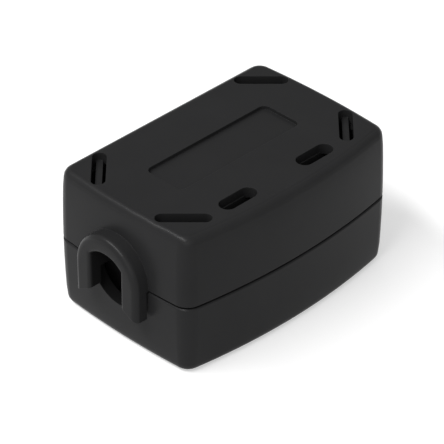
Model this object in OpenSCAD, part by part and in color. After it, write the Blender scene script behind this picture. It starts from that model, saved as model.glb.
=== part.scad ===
// Hinged clip-on ferrite bead for a round cable.
// The origin is the middle of the cable passage, on the plane where the two halves meet.
// X runs along the cable, the latch side faces -Y, the hinge side faces +Y and Z is up.
// Every size is in millimetres.

/* [Housing] */
// Length of the housing between its end corners
body_len = 37.3; // [34:0.1:60]
// Width of the housing between its front and back corners
body_wid = 24; // [23:0.1:40]
// Height of the upper half above the parting plane
upper_h = 10.5; // [9.8:0.1:20]
// Height of the lower half below the parting plane
lower_h = 10.4; // [9.8:0.1:20]
// Outward bow of each end face
end_bow = 0.56; // [0.2:0.02:1.5]
// Outward bow of the front face
front_bow = 1.8; // [0.6:0.1:3]
// Plan radius of the upright corners
corner_r = 2.4; // [2:0.1:4]
// How far the walls lean in between the parting plane and the roof or floor
barrel = 0.3; // [0.1:0.05:0.6]
// Rounding of the roof and floor edges
edge_round = 1.25; // [0.6:0.05:1.6]
// Thickness of the side walls
wall = 1.7; // [1.2:0.1:2.2]
// Thickness of the roof and of the floor
roof = 1.6; // [1.2:0.1:2.2]
// Open line between the two rims
rim_gap = 0.24; // [0.1:0.02:0.5]
// Chamfer along the outside of each rim
rim_chamfer = 0.16; // [0.05:0.01:0.3]

/* [Ferrite core] */
// Length of the core
core_len = 29.2; // [24:0.1:30]
// Width of the core
core_wid = 15; // [13:0.1:15.4]
// Height of the rails that press a half core towards the other one
seat = 0.8; // [0.4:0.1:1.5]
// Bore of the core, which is the largest cable it takes
bore_d = 5.6; // [4:0.1:5.6]
// Chamfer at each mouth of the bore
bore_chamfer = 0.5; // [0.2:0.1:0.8]
// Depth of the flat ground across each upright corner
core_corner = 0.25; // [0.1:0.05:0.6]
// Depth of the step that each retaining finger hooks under
step_depth = 0.75; // [0.5:0.05:1]
// Height of that step above the mating face
step_h = 1.7; // [1.2:0.1:2.5]

/* [Retaining fingers] */
// Thickness of a finger
finger_t = 0.9; // [0.6:0.05:1.1]
// Width of a finger
finger_w = 4.2; // [2.5:0.1:5]
// Play between a finger and the core
finger_play = 0.15; // [0.05:0.05:0.3]
// Height of the hooked end of a finger
finger_hook = 1.1; // [0.6:0.1:1.4]
// Width of the window above a finger
window_w = 1.9; // [1.5:0.05:2.2]
// Length of the window above a finger
window_len = 7.3; // [6:0.1:7.6]
// Depth of the finger's bridge below the face of the roof
bridge_depth = 1.1; // [0.6:0.1:1.1]

/* [Cable collar] */
// How far a collar stands out from the end face
collar_out = 2.2; // [1.5:0.1:4]
// Outside radius of the collar's arch
collar_r = 5.6; // [5.2:0.1:6]
// Height of the arch's centre above the parting plane
collar_rise = 0.8; // [0.4:0.1:1.6]
// Rounding of the collar's outer front edge
collar_round = 0.85; // [0.3:0.05:1]
// Rounding of the edge of the cable opening
port_round = 0.55; // [0.2:0.05:0.7]
// Radius of the cable opening
port_r = 4; // [3.6:0.05:4.3]
// Width between the collar's two legs
port_w = 5.6; // [5.6:0.1:6.6]
// Length of the legs below the parting plane, at their outer edge
leg_drop = 4.05; // [3:0.05:4.6]
// Length of the legs at their inner edge
leg_in = 2.55; // [2:0.05:3]
// Gap between the legs and the end face of the lower half
leg_back = 0.3; // [0.2:0.05:0.6]
// Radius of the saddle under the cable
saddle_r = 4.7; // [4.3:0.05:5]

/* [Name panel] */
// Length of the sunk panel in the roof
panel_len = 21.8; // [10:0.1:22.5]
// Width of the sunk panel
panel_wid = 6.6; // [4:0.1:8]
// Corner radius of the sunk panel
panel_r = 1; // [0.5:0.1:2]
// Depth of the sunk panel
panel_depth = 0.5; // [0.2:0.05:0.7]

/* [Latch] */
// Distance of each latch from the middle of the housing
latch_x = 7; // [6:0.1:8]
// Distance of the roof slots from the cable axis
slot_y = 9.55; // [9:0.05:9.8]
// Length of a roof slot
slot_len = 6; // [5.4:0.1:7]
// Width of a roof slot
slot_w = 2.4; // [1.6:0.1:2.6]
// Thickness of a latch arm
arm_t = 1.1; // [0.8:0.05:1.3]
// Width of a latch arm
arm_w = 4.6; // [3:0.1:5]
// Height of a latch arm above the parting plane
arm_h = 4.6; // [3.8:0.1:5]
// Reach of the barb on a latch arm
barb = 0.5; // [0.3:0.05:0.6]
// Height of the barb's flat underside above the parting plane
barb_z = 2.2; // [1.8:0.1:2.4]
// Gap between the barb and the catch
latch_gap = 0.12; // [0.08:0.01:0.3]
// Thickness of the catch wall
catch_t = 0.75; // [0.6:0.05:0.8]
// Reach of the foot on the catch wall
catch_foot = 0.55; // [0.4:0.05:0.6]

/* [Hinge] */
// Distance of each hinge from the middle of the housing
hinge_x = 7.6; // [5:0.1:8.5]
// Radius of the hinge knuckles
knuckle_r = 1.35; // [1.3:0.05:1.6]
// Diameter of the moulded hinge pin
pin_d = 1.4; // [1:0.05:1.5]
// Gap between the pin and the hook around it
pin_gap = 0.12; // [0.08:0.01:0.15]
// Width of the hook's mouth
hook_mouth = 1.2; // [0.8:0.05:1.3]
// Width of the hook
hook_w = 3; // [2:0.1:4]
// Width of each ear that carries the pin
ear_w = 1.4; // [1:0.1:2]
// Gap between a hook and an ear
side_gap = 0.2; // [0.1:0.05:0.4]
// Gap between a knuckle and the back wall
back_gap = 0.2; // [0.15:0.05:0.4]

/* [Hidden] */
eps = 0.05;
rim = rim_gap / 2;
end_r = (pow(body_wid / 2, 2) + pow(end_bow, 2)) / (2 * end_bow);
front_r = (pow(body_len / 2, 2) + pow(front_bow, 2)) / (2 * front_bow);
end_x = body_len / 2 + end_bow;
end_c = end_x - end_r;
front_c = front_r - body_wid / 2 - front_bow;
collar_x = end_x + collar_out;
hinge_y = body_wid / 2 + back_gap + knuckle_r;
half_diag = (core_len + core_wid) / 2 / sqrt(2);
core_flat = half_diag - core_corner;
finger_mid = core_flat + finger_play + finger_t / 2;
window_off = (finger_mid - half_diag) / sqrt(2);
window_x = core_len / 2 + window_off;
window_y = core_wid / 2 + window_off;
catch_y = core_wid / 2 + 0.2;
foot_y = catch_y + catch_t + catch_foot;
barb_y = foot_y + latch_gap;
arm_y = barb_y + barb;
core_h = min(upper_h, lower_h) - roof - seat;

// The point where the two rounding circles of a front corner cross gives the corner's centre
ca = front_r - corner_r;
cb = end_r - corner_r;
cd = sqrt(end_c * end_c + front_c * front_c);
cm = (ca * ca - cb * cb + cd * cd) / (2 * cd);
ch = sqrt(ca * ca - cm * cm);
fx = (cm * end_c + ch * front_c) / cd;
fy = front_c + (ch * end_c - cm * front_c) / cd;
by = body_wid / 2 - corner_r;
bx = end_c + sqrt(cb * cb - by * by);
front_a = atan2(fy - front_c, fx);
end_a0 = atan2(fy, fx - end_c);
end_a1 = atan2(by, bx - end_c);

// Points of one arc
function arc(cx, cy, r, a0, a1, n) = [for (i = [0:n]) let (a = a0 + (a1 - a0) * i / n)
  [cx + r * cos(a), cy + r * sin(a)]];

// Right half of the housing's outline, from the middle of the front round to the back
function half_outline(d, n) = concat(
  arc(0, front_c, front_r - d, -90, front_a, 10),
  arc(fx, fy, corner_r - d, front_a + 6, end_a0 - 6, 7),
  arc(end_c, 0, end_r - d, end_a0, end_a1, n),
  arc(bx, by, corner_r - d, end_a1 + 6, 90, 7));
function flip(p) = [for (i = [len(p) - 1:-1:1]) [-p[i][0], p[i][1]]];
function outline(d, n = 10) = concat(half_outline(d, n), flip(half_outline(d, n)));

// How far the wall has leaned in at a height
function lean(z, h) = barrel * pow(z / h, 2);

// Thin slice of the housing at one height
module slice(z, d) {
  translate([0, 0, z]) linear_extrude(0.01) polygon(outline(d));
}

// Outside of one half: a rounded tray whose walls lean in a little
module tray(h) {
  hull() {
    slice(rim, rim_chamfer);
    slice(rim + rim_chamfer, 0);
    for (k = [0.3, 0.55, 0.75]) slice(k * h, lean(k * h, h));
    for (a = [0, 20, 40, 60, 76, 90])
      slice(h - edge_round * (1 - sin(a)) - 0.01, barrel + edge_round * (1 - cos(a)));
  }
}

// Hollow inside one half
module hollow(h) {
  hull() {
    slice(rim - 1, wall);
    slice(h * 0.5, wall + 0.1);
    slice(h - roof - 0.6, wall + barrel);
    slice(h - roof - 0.01, wall + barrel + 0.45);
  }
}

// Slot with round ends
module obround(len, wid, z0, z1) {
  translate([-(len - wid) / 2, -wid / 2, z0]) cube([len - wid, wid, z1 - z0]);
  for (s = [-1, 1]) translate([s * (len - wid) / 2, 0, z0]) cylinder(d = wid, h = z1 - z0, $fn = 32);
}

// Block with upright round corners
module panel(len, wid, r, z0, z1) {
  translate([-len / 2 + r, -wid / 2, z0]) cube([len - 2 * r, wid, z1 - z0]);
  translate([-len / 2, -wid / 2 + r, z0]) cube([len, wid - 2 * r, z1 - z0]);
  for (sx = [-1, 1]) for (sy = [-1, 1])
    translate([sx * (len / 2 - r), sy * (wid / 2 - r), z0]) cylinder(r = r, h = z1 - z0, $fn = 32);
}

// Places a child at each of the four corners, turned square to the corner's 45 degree flat
module at_corners() {
  for (sx = [0, 1]) for (sy = [0, 1])
    mirror([sx, 0, 0]) mirror([0, sy, 0]) translate([window_x, window_y, 0]) rotate(-45) children();
}

// Both cable ends
module at_ends() {
  for (s = [0, 1]) mirror([s, 0, 0]) children();
}

// Retaining finger under its window: a thin plate hung from a bridge, hooked at its free end
module finger(h) {
  bridge = window_len + 0.4;
  tip = step_h - finger_hook - 0.15;
  translate([-bridge / 2, -finger_t / 2, h - roof - 0.4]) cube([bridge, finger_t, roof + 0.4 - bridge_depth]);
  translate([-finger_w / 2, -finger_t / 2, tip]) cube([finger_w, finger_t, h - roof - 0.05 - tip]);
  translate([-finger_w / 2, 0, 0]) rotate([90, 0, 90]) linear_extrude(finger_w) polygon([
    [0, tip],
    [-finger_t / 2, tip],
    [-finger_t / 2 - finger_play - step_depth + 0.3, step_h - 0.55],
    [-finger_t / 2 - finger_play - step_depth + 0.3, step_h - 0.1],
    [0, step_h - 0.1]]);
}

// Rails that press the half core towards the other one
module rails(h) {
  for (s = [-1, 1]) translate([s * core_len / 4 - 0.6, -core_wid / 2 + 2.5, core_h])
    cube([1.2, core_wid - 5, h - roof - core_h + 0.3]);
}

// One half core: a ground block with half of the cable bore and a hooked step at each corner
module half_core() {
  difference() {
    translate([-core_len / 2, -core_wid / 2, 0]) cube([core_len, core_wid, core_h]);
    translate([-core_len / 2 - 1, 0, 0]) rotate([0, 90, 0]) cylinder(d = bore_d, h = core_len + 2, $fn = 64);
    at_ends() translate([core_len / 2 - bore_chamfer, 0, 0]) rotate([0, 90, 0])
      cylinder(d1 = bore_d, d2 = bore_d + 2.2 * bore_chamfer, h = bore_chamfer * 1.1, $fn = 64);
    at_corners() {
      translate([-5, -finger_t / 2 - finger_play, -1]) cube([10, 5, core_h + 2]);
      translate([-5, -finger_t / 2 - finger_play - step_depth, -1]) cube([10, 5, step_h + 1]);
    }
  }
}

// How far the bowed end face has fallen back at a distance from its middle
function sag(y) = end_r - sqrt(end_r * end_r - y * y);

// Rounded front edge of the collar, as reach from the middle and distance from the end face
collar_edge = [for (t = [0:15:90])
  [collar_r - collar_round * (1 - cos(t)), collar_out - collar_round * (1 - sin(t))]];
collar_profile = concat([[0, -1], [collar_r, -1]], collar_edge, [[0, collar_out]]);

// One hanging leg seen from above: a back that follows the end face and a rounded front edge
leg_profile = concat(
  [for (k = [0:0.2:1]) let (y = port_w / 2 - 1 + k * (collar_r - port_w / 2 + 1)) [leg_back - sag(y), y]],
  [for (p = collar_edge) [p[1], p[0]]],
  [[collar_out, port_w / 2 - 1]]);

// Height of a leg's slanting end at a distance from the middle
function leg_end(y) = -leg_in - (leg_drop - leg_in) * (y - port_w / 2) / (collar_r - port_w / 2);

// Arched collar around the upper half of a cable opening, with its two hanging legs
module collar() {
  translate([end_x, 0, collar_rise]) rotate([0, 90, 0]) intersection() {
    rotate_extrude($fn = 96) polygon(collar_profile);
    translate([-20, -20, -3]) cube([20, 40, 10]);
  }
  for (s = [0, 1]) mirror([0, s, 0]) translate([end_x, 0, rim]) linear_extrude(collar_rise - rim + 0.01)
    polygon([for (p = collar_profile) [p[1], p[0]]]);
  for (s = [0, 1]) mirror([0, s, 0]) translate([end_x, 0, 0]) intersection() {
    translate([0, 0, -leg_drop - 1]) linear_extrude(leg_drop + 1 + rim + 0.3) polygon(leg_profile);
    translate([-5, 0, 0]) rotate([90, 0, 90]) linear_extrude(10) polygon([
      [port_w / 2 - 2, 2],
      [port_w / 2 - 2, leg_end(port_w / 2 - 2)],
      [collar_r + 1, leg_end(collar_r + 1)],
      [collar_r + 1, 2]]);
  }
}

// One side of the cable opening, straight inside and rounded out at the collar's front
function port_side(reach) = concat(
  [[reach, core_len / 2 + 0.5]],
  [for (t = [0:15:90]) [reach + port_round * (1 - cos(t)), collar_x - port_round * (1 - sin(t))]],
  [[reach + port_round, collar_x + 1]]);

// Cable opening through a collar: a circle cut off at the legs
module port() {
  intersection() {
    rotate([0, 90, 0]) rotate_extrude($fn = 96)
      polygon(concat([[0, core_len / 2 + 0.5]], port_side(port_r), [[0, collar_x + 1]]));
    translate([0, 0, -leg_drop - 1]) linear_extrude(leg_drop + 11) polygon(concat(
      [for (p = port_side(port_w / 2)) [p[1], -p[0]]],
      [for (i = [len(port_side(port_w / 2)) - 1:-1:0]) let (p = port_side(port_w / 2)[i]) [p[1], p[0]]]));
  }
}

// Ears and moulded pin of one hinge
module ears() {
  for (s = [-1, 1]) translate([s * (hook_w / 2 + side_gap + ear_w / 2) - ear_w / 2, 0, 0]) {
    translate([0, hinge_y, 0]) rotate([0, 90, 0]) cylinder(r = knuckle_r, h = ear_w, $fn = 48);
    translate([0, body_wid / 2 - 0.8, rim + 0.05])
      cube([ear_w, hinge_y - body_wid / 2 + 0.8, knuckle_r - rim - 0.05]);
  }
  translate([-hook_w / 2 - side_gap - ear_w / 2, hinge_y, 0]) rotate([0, 90, 0])
    cylinder(d = pin_d, h = hook_w + 2 * side_gap + ear_w, $fn = 48);
}

// Open hook that snaps over the pin of one hinge
module hook() {
  difference() {
    union() {
      translate([-hook_w / 2, hinge_y, 0]) rotate([0, 90, 0]) cylinder(r = knuckle_r, h = hook_w, $fn = 48);
      translate([-hook_w / 2, body_wid / 2 - 0.8, -knuckle_r])
        cube([hook_w, hinge_y - body_wid / 2 + 0.8, knuckle_r - rim - 0.05]);
    }
    translate([-hook_w / 2 - 1, hinge_y, 0]) rotate([0, 90, 0])
      cylinder(d = pin_d + 2 * pin_gap, h = hook_w + 2, $fn = 48);
    translate([-hook_w / 2 - 1, hinge_y - hook_mouth / 2, 0]) cube([hook_w + 2, hook_mouth, knuckle_r + 1]);
  }
}

// Catch wall with a foot, moulded under a roof slot
module catch() {
  translate([-slot_len / 2 - 0.6, -catch_y - catch_t, 0.7])
    cube([slot_len + 1.2, catch_t, upper_h - roof - 0.4]);
  translate([-arm_w / 2, -foot_y, 0.7]) cube([arm_w, catch_foot + 0.2, barb_z - 0.85]);
}

// Sprung latch arm with its barb
module arm() {
  translate([-arm_w / 2, -arm_y - arm_t, -lower_h + roof - 0.3])
    cube([arm_w, arm_t, lower_h - roof + 0.3 + arm_h]);
  translate([-arm_w / 2, 0, 0]) rotate([90, 0, 90]) linear_extrude(arm_w) polygon([
    [-arm_y - 0.2, barb_z],
    [-barb_y, barb_z],
    [-barb_y, barb_z + 0.5],
    [-arm_y - 0.2, arm_h]]);
}

module lower_shell() {
  color([0.1, 0.1, 0.105]) {
    difference() {
      mirror([0, 0, 1]) tray(lower_h);
      mirror([0, 0, 1]) hollow(lower_h);
      at_ends() translate([core_len / 2 + 0.5, 0, 0]) rotate([0, 90, 0])
        cylinder(r = saddle_r, h = 12, $fn = 64);
      at_corners() obround(window_len, window_w, -lower_h - 1, -lower_h + roof + 0.3);
      for (s = [-1, 1]) translate([s * latch_x - arm_w / 2, -arm_y, -lower_h - 1])
        cube([arm_w, barb + 0.6, roof + 1.3]);
    }
    mirror([0, 0, 1]) at_corners() finger(lower_h);
    mirror([0, 0, 1]) rails(lower_h);
    for (s = [-1, 1]) translate([s * latch_x, 0, 0]) arm();
    for (s = [-1, 1]) translate([s * hinge_x, 0, 0]) hook();
  }
}

module lower_core() {
  color([0.2, 0.2, 0.21]) mirror([0, 0, 1]) half_core();
}

module upper_shell() {
  color([0.1, 0.1, 0.105]) {
    difference() {
      union() {
        tray(upper_h);
        at_ends() collar();
      }
      hollow(upper_h);
      at_ends() port();
      at_corners() obround(window_len, window_w, upper_h - roof - 0.3, upper_h + 1);
      for (s = [-1, 1]) translate([s * latch_x, -slot_y, 0])
        obround(slot_len, slot_w, upper_h - roof - 0.3, upper_h + 1);
      panel(panel_len, panel_wid, panel_r, upper_h - panel_depth, upper_h + 1);
    }
    at_corners() finger(upper_h);
    rails(upper_h);
    for (s = [-1, 1]) translate([s * latch_x, 0, 0]) catch();
    for (s = [-1, 1]) translate([s * hinge_x, 0, 0]) ears();
  }
}

module upper_core() {
  color([0.2, 0.2, 0.21]) half_core();
}

lower_shell();
lower_core();
upper_shell();
upper_core();
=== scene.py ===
# %% [markdown]
# # A clip-on ferrite bead
# This part is a small black nylon box that snaps round a cable and damps the interference on it. Its two
# halves swing on a moulded hinge, and each half holds one half of a ferrite core. The CAD model gives every
# size and every moving body, so this lesson only dresses it: smooth skins, materials, light and a camera.

# %% Load the frame
import bpy
import bmesh
import math
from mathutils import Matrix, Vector


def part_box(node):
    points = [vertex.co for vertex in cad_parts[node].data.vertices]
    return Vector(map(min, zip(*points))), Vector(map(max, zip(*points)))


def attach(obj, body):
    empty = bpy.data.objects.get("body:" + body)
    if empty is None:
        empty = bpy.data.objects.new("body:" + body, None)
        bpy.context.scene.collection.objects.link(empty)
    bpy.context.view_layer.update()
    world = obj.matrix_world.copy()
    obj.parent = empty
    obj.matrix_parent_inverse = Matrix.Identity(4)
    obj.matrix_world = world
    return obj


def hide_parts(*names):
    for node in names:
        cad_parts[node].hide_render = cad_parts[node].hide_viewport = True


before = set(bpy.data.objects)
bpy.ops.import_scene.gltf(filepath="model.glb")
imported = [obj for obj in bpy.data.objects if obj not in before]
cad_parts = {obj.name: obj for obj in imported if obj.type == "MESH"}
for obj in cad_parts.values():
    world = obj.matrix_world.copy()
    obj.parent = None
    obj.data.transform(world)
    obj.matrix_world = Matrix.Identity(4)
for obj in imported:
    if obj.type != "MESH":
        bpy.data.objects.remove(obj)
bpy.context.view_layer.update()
MM = 0.001

# %% [markdown]
# ## The camera
# The view looks down on the near corner at the isometric angle, so the roof, the cable end and the latch
# side are all seen at the same slant. A long lens from 400 mm away keeps parallel edges nearly parallel,
# as in a catalogue picture.

# %% Camera
camera_data = bpy.data.cameras.new("camera")
camera_data.sensor_width = 36.0
camera_data.lens = 3047.9 * 36.0 / 444.0
camera_data.clip_start = 0.01
camera_data.clip_end = 10.0
camera = bpy.data.objects.new("camera", camera_data)
bpy.context.scene.collection.objects.link(camera)
bpy.context.scene.camera = camera
sight = Vector((1.0, 1.0, -1.0)).normalized()
right = sight.cross(Vector((0.0, 0.0, 1.0))).normalized()
up = right.cross(sight)
camera.location = -0.400 * sight - 0.213 * MM * right - 1.163 * MM * up
camera.rotation_euler = sight.to_track_quat("-Z", "Y").to_euler()
print("camera at", [round(c, 4) for c in camera.location], "lens", round(camera_data.lens, 1))

# %% [markdown]
# ## Smooth skins over the CAD solids
# The CAD halves are made of many flat strips. A moulded surface has none, so each node is copied into a
# piece of its own, its doubled corners are joined, and only the real edges stay sharp. A weighted normal
# modifier keeps the broad faces calm where they run into the rounded edges. The piece then takes the place
# of its node and rides on the same body.

# %% Dress one node
def dressed(node, body, sharp_angle):
    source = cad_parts[node].data
    bm = bmesh.new()
    corners = [bm.verts.new(v.co) for v in source.vertices]
    for polygon in source.polygons:
        try:
            bm.faces.new([corners[i] for i in polygon.vertices])
        except ValueError:
            pass
    bmesh.ops.remove_doubles(bm, verts=bm.verts, dist=0.002 * MM)
    bmesh.ops.dissolve_degenerate(bm, edges=bm.edges, dist=0.002 * MM)
    bmesh.ops.recalc_face_normals(bm, faces=bm.faces)
    mesh = bpy.data.meshes.new(node + "_skin")
    bm.to_mesh(mesh)
    bm.free()
    mesh.polygons.foreach_set("use_smooth", [True] * len(mesh.polygons))
    mesh.set_sharp_from_angle(angle=math.radians(sharp_angle))
    piece = bpy.data.objects.new(node + "_skin", mesh)
    bpy.context.scene.collection.objects.link(piece)
    calm = piece.modifiers.new("calm_normals", "WEIGHTED_NORMAL")
    calm.keep_sharp = True
    calm.weight = 60
    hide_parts(node)
    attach(piece, body)
    print(node, "faces", len(mesh.polygons))
    return piece

# %% Dress all four
lower_shell = dressed("lower_shell", "lower", 27)
upper_shell = dressed("upper_shell", "upper", 27)
lower_core = dressed("lower_core", "lower", 27)
upper_core = dressed("upper_core", "upper", 27)

# %% [markdown]
# ## Small node helpers
# A shader is a chain of nodes. These helpers add one node each, so the chains below read as plain steps.

# %% Node helpers
def new_group(name, inputs, outputs):
    group = bpy.data.node_groups.new(name, "ShaderNodeTree")
    for label, default in inputs:
        socket = group.interface.new_socket(name=label, in_out="INPUT", socket_type="NodeSocketFloat")
        socket.default_value = default
    for label, kind in outputs:
        group.interface.new_socket(name=label, in_out="OUTPUT", socket_type=kind)
    return group, group.nodes.new("NodeGroupInput"), group.nodes.new("NodeGroupOutput")


def set_or_link(links, socket, value):
    if isinstance(value, (int, float, tuple)):
        socket.default_value = value
    else:
        links.new(value, socket)


def math_node(nodes, links, operation, a, b, clamp=False):
    node = nodes.new("ShaderNodeMath")
    node.operation = operation
    node.use_clamp = clamp
    set_or_link(links, node.inputs[0], a)
    set_or_link(links, node.inputs[1], b)
    return node.outputs[0]


def map_range(nodes, links, value, low, high, out_low, out_high):
    node = nodes.new("ShaderNodeMapRange")
    node.interpolation_type = "SMOOTHSTEP"
    links.new(value, node.inputs["Value"])
    for label, number in (("From Min", low), ("From Max", high), ("To Min", out_low), ("To Max", out_high)):
        node.inputs[label].default_value = number
    return node.outputs["Result"]


def mix_colour(nodes, links, share, a, b):
    node = nodes.new("ShaderNodeMix")
    node.data_type = "RGBA"
    set_or_link(links, node.inputs[0], share)
    set_or_link(links, node.inputs[6], a)
    set_or_link(links, node.inputs[7], b)
    return node.outputs[2]


def noise(nodes, links, place, scale, detail):
    node = nodes.new("ShaderNodeTexNoise")
    node.inputs["Detail"].default_value = detail
    links.new(place, node.inputs["Vector"])
    set_or_link(links, node.inputs["Scale"], scale)
    return node.outputs["Fac"]

# %% [markdown]
# ## Shared shader groups
# Three effects occur on the nylon and on the ferrite alike, only at other sizes, so each is a node group
# with named inputs. *Grain* gives a bump height and a slow cloud. *Rounded edge* rounds every sharp edge in
# the shading, because no moulded or tumbled edge is truly sharp, and says where the edges are. *Handling*
# gives faint smears, which show only as a change of gloss.

# %% Grain group
def grain_group():
    group, gin, gout = new_group(
        "grain", [("Grain size", 0.0002), ("Pit share", 0.4)],
        [("Height", "NodeSocketFloat"), ("Cloud", "NodeSocketFloat")])
    nodes, links = group.nodes, group.links
    place = nodes.new("ShaderNodeTexCoord").outputs["Object"]
    scale = math_node(nodes, links, "DIVIDE", 1.0, gin.outputs["Grain size"])
    fine = noise(nodes, links, place, scale, 3.0)
    pits = nodes.new("ShaderNodeTexVoronoi")
    links.new(place, pits.inputs["Vector"])
    links.new(scale, pits.inputs["Scale"])
    pit = math_node(nodes, links, "MULTIPLY", pits.outputs["Distance"], gin.outputs["Pit share"])
    links.new(math_node(nodes, links, "ADD", fine, pit), gout.inputs["Height"])
    links.new(noise(nodes, links, place, 160.0, 2.0), gout.inputs["Cloud"])
    return group

GRAIN = grain_group()
print("group", GRAIN.name, "nodes", len(GRAIN.nodes))

# %% Rounded edge group
def edge_group():
    group, gin, gout = new_group(
        "rounded_edge", [("Radius", 0.0002), ("Gain", 3.0)],
        [("Normal", "NodeSocketVector"), ("Edge", "NodeSocketFloat")])
    nodes, links = group.nodes, group.links
    bevel = nodes.new("ShaderNodeBevel")
    bevel.samples = 6
    links.new(gin.outputs["Radius"], bevel.inputs["Radius"])
    face = nodes.new("ShaderNodeNewGeometry")
    dot = nodes.new("ShaderNodeVectorMath")
    dot.operation = "DOT_PRODUCT"
    links.new(bevel.outputs["Normal"], dot.inputs[0])
    links.new(face.outputs["Normal"], dot.inputs[1])
    turned = math_node(nodes, links, "SUBTRACT", 1.0, dot.outputs["Value"])
    links.new(math_node(nodes, links, "MULTIPLY", turned, gin.outputs["Gain"], clamp=True), gout.inputs["Edge"])
    links.new(bevel.outputs["Normal"], gout.inputs["Normal"])
    return group

EDGE = edge_group()
print("group", EDGE.name, "nodes", len(EDGE.nodes))

# %% Handling group
def handling_group():
    group, gin, gout = new_group("handling", [("Amount", 0.05)], [("Gloss change", "NodeSocketFloat")])
    nodes, links = group.nodes, group.links
    place = nodes.new("ShaderNodeTexCoord").outputs["Object"]
    smear = noise(nodes, links, place, 90.0, 4.0)
    patch = map_range(nodes, links, smear, 0.48, 0.68, 0.0, 1.0)
    links.new(math_node(nodes, links, "MULTIPLY", patch, gin.outputs["Amount"]), gout.inputs["Gloss change"])
    return group

HANDLING = handling_group()
print("group", HANDLING.name, "nodes", len(HANDLING.nodes))

# %% [markdown]
# ## Materials
# A material starts from one Principled shader. The groups feed its colour, roughness and normal.

# %% Material helpers
def new_material(name):
    material = bpy.data.materials.new(name)
    material.use_nodes = True
    nodes, links = material.node_tree.nodes, material.node_tree.links
    nodes.clear()
    out = nodes.new("ShaderNodeOutputMaterial")
    shader = nodes.new("ShaderNodeBsdfPrincipled")
    links.new(shader.outputs["BSDF"], out.inputs["Surface"])
    return material, nodes, links, shader


def place_group(nodes, group, **values):
    node = nodes.new("ShaderNodeGroup")
    node.node_tree = group
    for label, value in values.items():
        node.inputs[label.replace("_", " ")].default_value = value
    return node


def bumped(nodes, links, shader, height, normal, strength, depth):
    bump = nodes.new("ShaderNodeBump")
    bump.inputs["Strength"].default_value = strength
    bump.inputs["Distance"].default_value = depth
    links.new(height, bump.inputs["Height"])
    links.new(normal, bump.inputs["Normal"])
    links.new(bump.outputs["Normal"], shader.inputs["Normal"])

# %% [markdown]
# ### Black nylon
# A black moulding shows its form almost only by what it mirrors: the pale floor in its walls, the lamps along
# its rounded edges. So its gloss is weak, but the roughness is low enough for those reflections to read. It
# stays at 0.28 or more everywhere, because a denoiser takes glossier spots for mirrors and would draw their
# outlines. The sharp edges, which are rubbed by hand, are a little paler. The slopes between wall and roof are
# polished by the same handling, so a mask on the upward tilt of the surface gives them more gloss.
#
# The passage for the cable gets painted shade: its colour is darker and its gloss weaker than outside, to stand in
# for the shade inside it. A mask finds its walls: they lie between the legs of a collar, or inside the end wall,
# close to the axis of the cable. It fades out over the rounded edge of the opening.

# %% Cable passage painted shade mask
def passage_shade_mask(nodes, links):
    place = nodes.new("ShaderNodeTexCoord").outputs["Object"]
    split = nodes.new("ShaderNodeSeparateXYZ")
    links.new(place, split.inputs[0])
    along = math_node(nodes, links, "ABSOLUTE", split.outputs["X"], 0.0)
    beside = math_node(nodes, links, "ABSOLUTE", split.outputs["Y"], 0.0)
    across = nodes.new("ShaderNodeVectorMath")
    across.operation = "MULTIPLY"
    across.inputs[1].default_value = (0.0, 1.0, 1.0)
    links.new(place, across.inputs[0])
    radius = nodes.new("ShaderNodeVectorMath")
    radius.operation = "LENGTH"
    links.new(across.outputs["Vector"], radius.inputs[0])
    radius = radius.outputs["Value"]
    between_legs = map_range(nodes, links, beside, 2.79 * MM, 3.00 * MM, 1.0, 0.0)
    under_arch = map_range(nodes, links, radius, 4.02 * MM, 4.25 * MM, 1.0, 0.0)
    in_end_wall = map_range(nodes, links, along, 19.15 * MM, 19.30 * MM, 1.0, 0.0)
    in_saddle = map_range(nodes, links, radius, 4.72 * MM, 4.80 * MM, 1.0, 0.0)
    opening = math_node(nodes, links, "MULTIPLY", between_legs, under_arch)
    inside = math_node(nodes, links, "MULTIPLY", in_end_wall, in_saddle)
    return math_node(nodes, links, "MAXIMUM", opening, inside)

# %% Polished slopes mask
def slope_mask(nodes, links):
    split = nodes.new("ShaderNodeSeparateXYZ")
    links.new(nodes.new("ShaderNodeTexCoord").outputs["Normal"], split.inputs[0])
    off_wall = map_range(nodes, links, split.outputs["Z"], 0.20, 0.55, 0.0, 1.0)
    off_roof = map_range(nodes, links, split.outputs["Z"], 0.93, 0.985, 1.0, 0.0)
    return math_node(nodes, links, "MULTIPLY", off_wall, off_roof)

# %% Nylon
def nylon():
    material, nodes, links, shader = new_material("black_nylon")
    grain = place_group(nodes, GRAIN, Grain_size=0.00022, Pit_share=0.5)
    edge = place_group(nodes, EDGE, Radius=0.00012, Gain=2.5)
    smear = place_group(nodes, HANDLING, Amount=0.02)
    body = mix_colour(nodes, links, grain.outputs["Cloud"], (0.0200, 0.0200, 0.0205, 1), (0.0240, 0.0240, 0.0246, 1))
    worn = mix_colour(nodes, links, edge.outputs["Edge"], body, (0.030, 0.030, 0.031, 1))
    passage_shade = passage_shade_mask(nodes, links)
    # painted shade: the cable passage gets a darker colour in place of the shade that falls inside it
    colour = mix_colour(nodes, links, passage_shade, worn, (0.012, 0.012, 0.0122, 1))
    links.new(colour, shader.inputs["Base Color"])
    rough = map_range(nodes, links, grain.outputs["Cloud"], 0.3, 0.7, 0.30, 0.34)
    rough = math_node(nodes, links, "SUBTRACT", rough, smear.outputs["Gloss change"])
    links.new(rough, shader.inputs["Roughness"])
    gloss = map_range(nodes, links, slope_mask(nodes, links), 0.0, 1.0, 0.058, 0.12)
    # the same painted shade also weakens the gloss inside the passage
    kept = map_range(nodes, links, passage_shade, 0.0, 1.0, 1.0, 0.35)
    links.new(math_node(nodes, links, "MULTIPLY", gloss, kept), shader.inputs["Specular IOR Level"])
    bumped(nodes, links, shader, grain.outputs["Height"], edge.outputs["Normal"], 0.10, 0.00002)
    return material

NYLON = nylon()
for piece in (lower_shell, upper_shell):
    piece.data.materials.append(NYLON)
print("material", NYLON.name)

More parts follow.
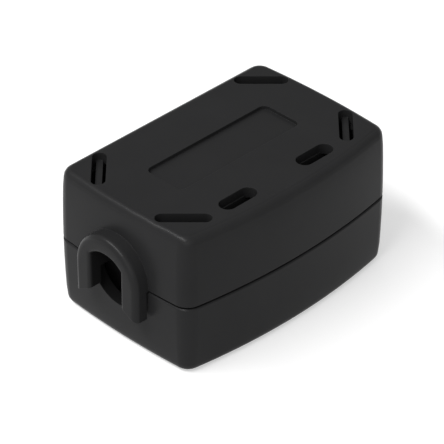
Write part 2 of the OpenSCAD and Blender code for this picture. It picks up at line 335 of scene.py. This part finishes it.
# %% [markdown]
# ### Sintered ferrite
# The core is a dark grey ceramic. Its sides keep the dull skin from the kiln, while the two mating faces
# are ground flat: they are paler, smoother and carry fine lines along the way the wheel ran.

# %% Ferrite
def ferrite():
    material, nodes, links, shader = new_material("sintered_ferrite")
    grain = place_group(nodes, GRAIN, Grain_size=0.00012, Pit_share=0.8)
    edge = place_group(nodes, EDGE, Radius=0.00018, Gain=2.0)
    smear = place_group(nodes, HANDLING, Amount=0.08)
    place = nodes.new("ShaderNodeTexCoord")
    split = nodes.new("ShaderNodeSeparateXYZ")
    links.new(place.outputs["Object"], split.inputs[0])
    height = math_node(nodes, links, "ABSOLUTE", split.outputs["Z"], 0.0)
    ground = map_range(nodes, links, height, 0.02 * MM, 0.06 * MM, 1.0, 0.0)
    stretch = nodes.new("ShaderNodeMapping")
    stretch.inputs["Scale"].default_value = (1.0, 24.0, 1.0)
    links.new(place.outputs["Object"], stretch.inputs["Vector"])
    lines = noise(nodes, links, stretch.outputs["Vector"], 500.0, 3.0)
    skin = mix_colour(nodes, links, grain.outputs["Cloud"], (0.032, 0.032, 0.034, 1), (0.046, 0.045, 0.047, 1))
    cut = mix_colour(nodes, links, lines, (0.080, 0.080, 0.083, 1), (0.130, 0.130, 0.134, 1))
    body = mix_colour(nodes, links, ground, skin, cut)
    worn = mix_colour(nodes, links, edge.outputs["Edge"], body, (0.15, 0.15, 0.153, 1))
    links.new(worn, shader.inputs["Base Color"])
    dull = map_range(nodes, links, grain.outputs["Cloud"], 0.3, 0.7, 0.58, 0.68)
    rough = math_node(nodes, links, "ADD", math_node(nodes, links, "MULTIPLY", ground, -0.24), dull)
    rough = math_node(nodes, links, "SUBTRACT", rough, smear.outputs["Gloss change"])
    links.new(rough, shader.inputs["Roughness"])
    bumped(nodes, links, shader, grain.outputs["Height"], edge.outputs["Normal"], 0.3, 0.00002)
    return material

FERRITE = ferrite()
for piece in (lower_core, upper_core):
    piece.data.materials.append(FERRITE)
print("material", FERRITE.name)

# %% [markdown]
# ## Floor
# The part stands on a plain pale floor that catches its shadow. The floor lies a hair below the part, so that
# no two faces share one plane. The camera and the reflections see it brighter than it is lit, so the picture
# runs out to white without more light on the part.

# %% Floor
floor_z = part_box("lower_shell")[0].z - 0.03 * MM
floor_mesh = bpy.data.meshes.new("floor")
corners = [(-1.5, -1.5, floor_z), (1.5, -1.5, floor_z), (1.5, 1.5, floor_z), (-1.5, 1.5, floor_z)]
floor_mesh.from_pydata(corners, [], [(0, 1, 2, 3)])
floor = bpy.data.objects.new("floor", floor_mesh)
bpy.context.scene.collection.objects.link(floor)
floor_material, nodes, links, shader = new_material("floor_white")
shader.inputs["Base Color"].default_value = (0.70, 0.70, 0.70, 1)
shader.inputs["Roughness"].default_value = 0.9
shader.inputs["Specular IOR Level"].default_value = 0.0
path = nodes.new("ShaderNodeLightPath")
seen = math_node(nodes, links, "MAXIMUM", path.outputs["Is Camera Ray"], path.outputs["Is Glossy Ray"])
seen = math_node(nodes, links, "MAXIMUM", seen, path.outputs["Is Transmission Ray"])
shader.inputs["Emission Color"].default_value = (1, 1, 1, 1)
links.new(math_node(nodes, links, "MULTIPLY", seen, 0.47), shader.inputs["Emission Strength"])
floor.data.materials.append(floor_material)
print("floor at z", round(floor_z, 5))

# %% [markdown]
# ## Light
# A white surround lights the part evenly. A long strip lamp high on the left draws the bright line along the
# roof's near edge and over the collar, because those rounded edges mirror it to the camera. A weak lamp low
# beside the camera opens the shadows at the cable end.

# %% Lamps
def soft_lamp(name, place, width, height, watts):
    data = bpy.data.lights.new(name, "AREA")
    data.shape = "RECTANGLE"
    data.size = width
    data.size_y = height
    data.energy = watts
    lamp = bpy.data.objects.new(name, data)
    bpy.context.scene.collection.objects.link(lamp)
    lamp.location = place
    lamp.rotation_euler = (-Vector(place)).to_track_quat("-Z", "Y").to_euler()
    print(name, watts, "W")

soft_lamp("top_strip", (-0.39, 0.12, 0.70), 0.76, 0.13, 5.4)
soft_lamp("fill_lamp", (-0.42, -0.42, 0.20), 0.50, 0.50, 0.7)
world = bpy.data.worlds.new("studio")
bpy.context.scene.world = world
world.use_nodes = True
sky = world.node_tree.nodes["Background"]
sky.inputs["Color"].default_value = (1, 1, 1, 1)
sky.inputs["Strength"].default_value = 0.37
bpy.context.scene.view_settings.view_transform = "Standard"
print("surround strength", round(sky.inputs["Strength"].default_value, 2))
